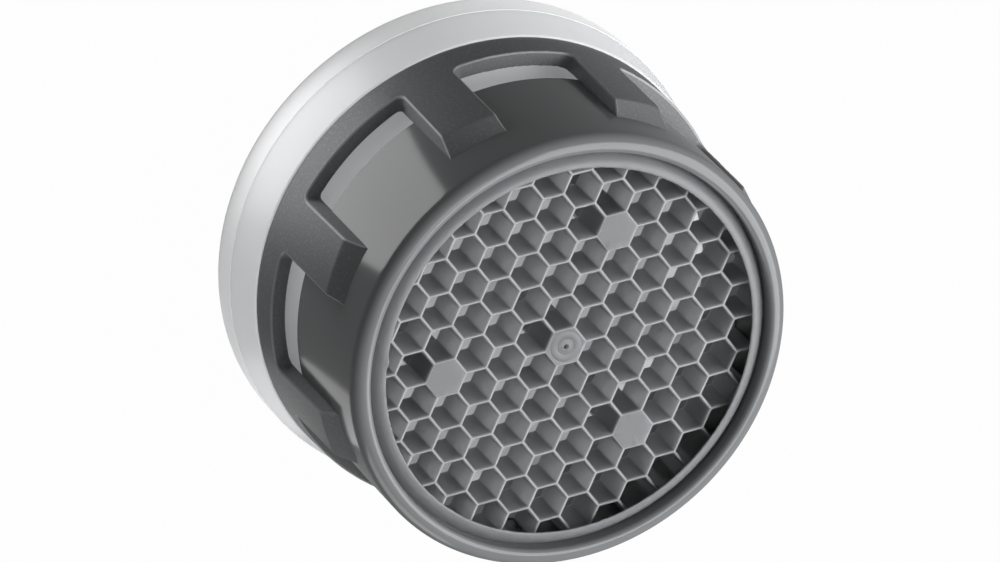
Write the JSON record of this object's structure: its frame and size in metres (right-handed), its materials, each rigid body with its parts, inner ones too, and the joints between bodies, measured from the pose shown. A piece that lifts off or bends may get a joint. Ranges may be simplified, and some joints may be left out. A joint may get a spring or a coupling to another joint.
{
  "type": "tap aerator",
  "caption": "Round tap aerator insert with air windows round its side and a honeycomb outlet; it drops into a spout's sleeve and mixes air into the water.",
  "frame": {"origin": "centre of the inlet end's sealing face, on which the insert stands", "axes": "+Z along the water's way out, from the inlet end to the honeycomb outlet; +X along a row of honeycomb cells and through a pillar"},
  "size_m": [0.0222, 0.0222, 0.0134],
  "materials": {
    "housing_plastic": "moulded grey acetal, fine spark-eroded texture on the pillars",
    "grid_plastic": "moulded grey acetal, satin",
    "former_plastic": "moulded natural white acetal, slightly translucent",
    "strainer_plastic": "moulded natural white acetal",
    "washer_rubber": "translucent white silicone, smooth"
  },
  "bodies": {
    "root": {"housing": "housing_plastic", "outlet_grid": "grid_plastic", "jet_former": "former_plastic", "strainer": "strainer_plastic", "seal_washer": "washer_rubber"}
  },
  "joints": []
}
